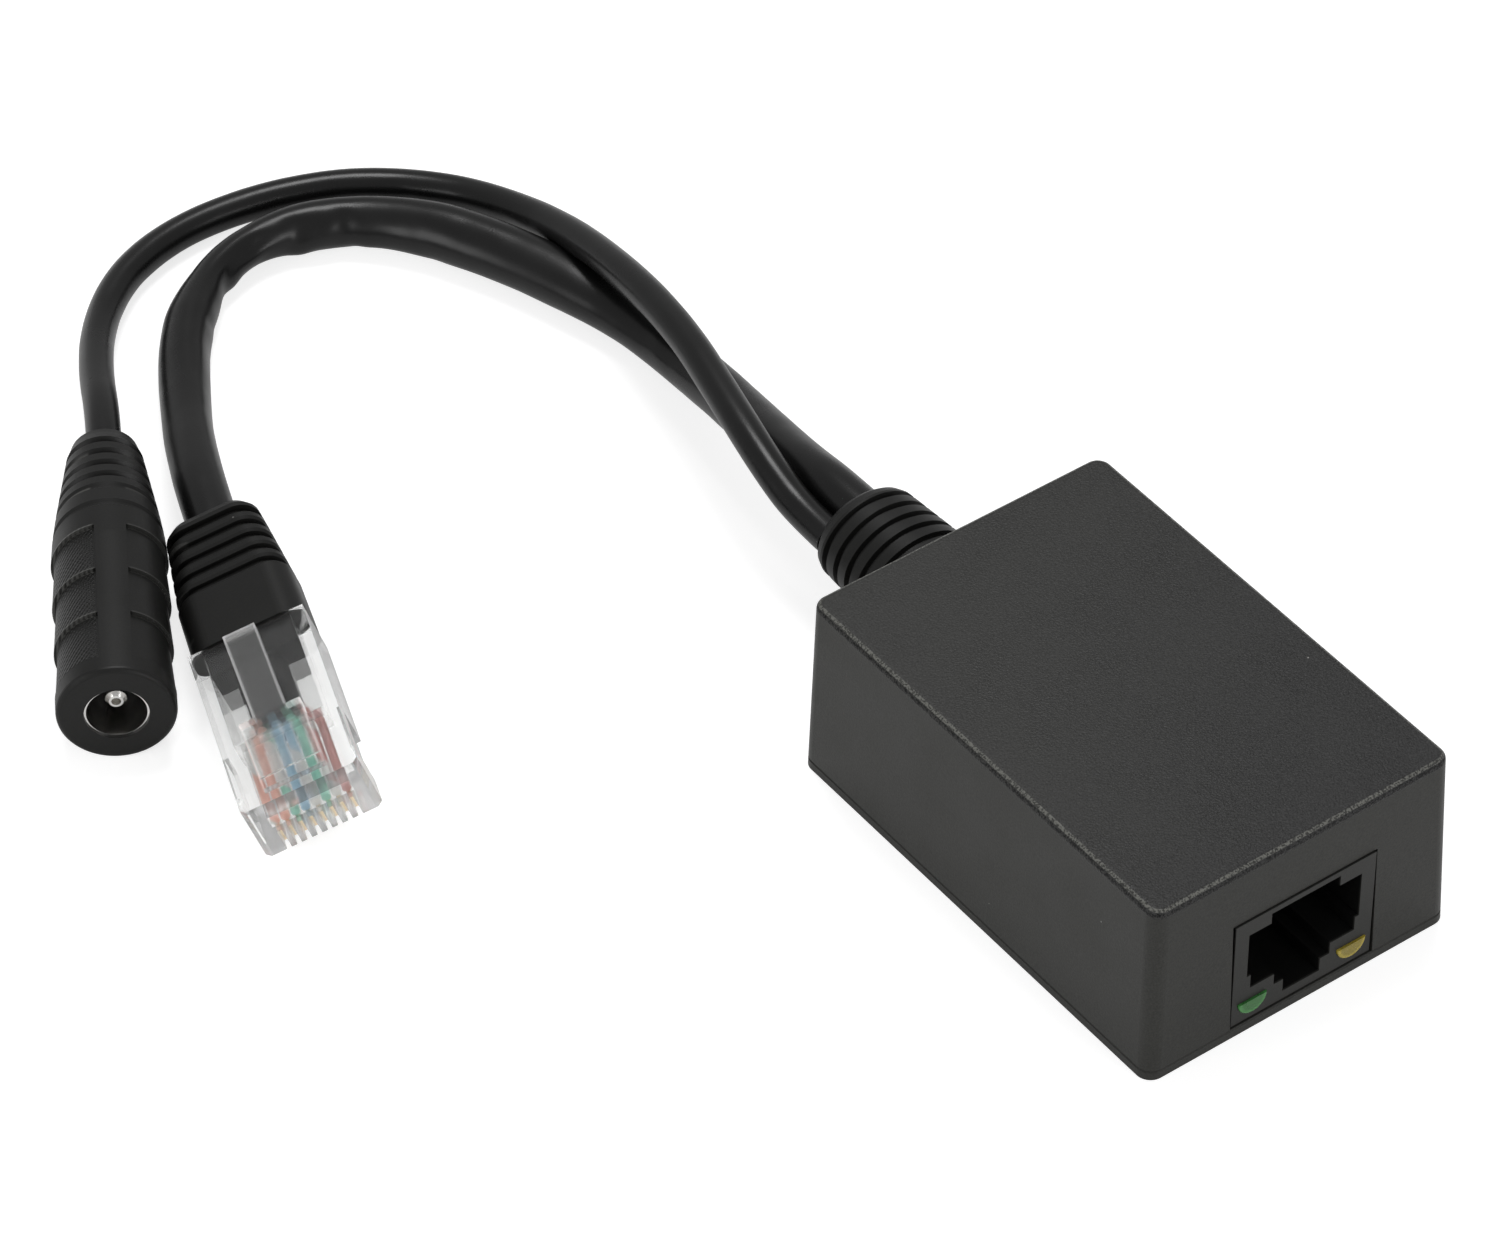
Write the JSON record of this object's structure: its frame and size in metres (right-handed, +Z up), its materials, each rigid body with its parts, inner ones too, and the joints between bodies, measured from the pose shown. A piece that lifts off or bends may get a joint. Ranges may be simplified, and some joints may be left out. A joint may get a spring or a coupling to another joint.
{
  "type": "power over ethernet inverter",
  "caption": "Small drafted box with a modular network socket in one end, and a short data lead and a power lead with a round socket leaving the other end through a ribbed strain relief.",
  "frame": {"origin": "middle of the box's flat underside", "axes": "+Z up out of the box's roof, +Y along the box from the socket end to the lead end, +X to the box's side away from the plugs"},
  "size_m": [0.0893, 0.1484, 0.0202],
  "materials": {
    "case_plastic": "fine spark texture, slight sheen",
    "board_laminate": "solder masked glass laminate",
    "nickel_metal": "nickel plated",
    "jack_plastic": "dense black, smooth",
    "gold_contact": "gold flashed",
    "lamp_green": "tinted, glossy",
    "lamp_amber": "tinted, glossy",
    "tinned_metal": "tinned",
    "chip_epoxy": "moulded epoxy",
    "ferrite": "matt grey black",
    "bobbin_plastic": "moulded",
    "copper_winding": "enamelled copper under tape",
    "ceramic_chip": "fired",
    "resistor_body": "glazed",
    "boot_plastic": "soft moulded black, satin",
    "core_white_blue": "extruded insulation",
    "cord_jacket": "soft black vinyl, satin",
    "clear_plastic": "clear, glossy",
    "insulator_plastic": "moulded",
    "can_sleeve": "sleeved",
    "core_white_orange": "extruded insulation",
    "core_orange": "extruded insulation",
    "core_white_green": "extruded insulation",
    "core_blue": "extruded insulation",
    "core_green": "extruded insulation",
    "core_white_brown": "extruded insulation",
    "core_brown": "extruded insulation"
  },
  "bodies": {
    "root": {"amber_lamp": "lamp_amber", "board_screws": "nickel_metal", "bottom_cover": "case_plastic", "capacitor_leads": "tinned_metal", "ceramic_capacitors": "ceramic_chip", "circuit_board": "board_laminate", "controller_chip": "chip_epoxy", "controller_legs": "tinned_metal", "data_cord": "cord_jacket", "data_cores": "core_white_blue", "dc_socket_body": "boot_plastic", "dc_socket_insulator": "insulator_plastic", "dc_socket_pin": "nickel_metal", "dc_socket_ring": "nickel_metal", "drum_inductor": "ferrite", "drum_winding": "copper_winding", "green_lamp": "lamp_green", "input_capacitor": "can_sleeve", "jack_contact_carrier": "jack_plastic", "jack_contacts": "gold_contact", "jack_housing": "jack_plastic", "lamp_leads": "tinned_metal", "output_capacitor": "can_sleeve", "plug_body": "clear_plastic", "plug_boot": "boot_plastic", "plug_contacts": "gold_contact", "plug_core_blue": "core_blue", "plug_core_brown": "core_brown", "plug_core_green": "core_green", "plug_core_orange": "core_orange", "plug_core_white_blue": "core_white_blue", "plug_core_white_brown": "core_white_brown", "plug_core_white_green": "core_white_green", "plug_core_white_orange": "core_white_orange", "plug_jacket_end": "cord_jacket", "power_cord": "cord_jacket", "power_cores": "cord_jacket", "power_switch": "chip_epoxy", "power_switch_legs": "tinned_metal", "pulse_transformer": "chip_epoxy", "pulse_transformer_legs": "tinned_metal", "rectifier_diode": "chip_epoxy", "rectifier_legs": "tinned_metal", "resistors": "resistor_body", "strain_relief": "boot_plastic", "top_shell": "case_plastic", "transformer_bobbin": "bobbin_plastic", "transformer_core": "ferrite", "transformer_pins": "tinned_metal", "transformer_winding": "copper_winding"}
  },
  "joints": []
}
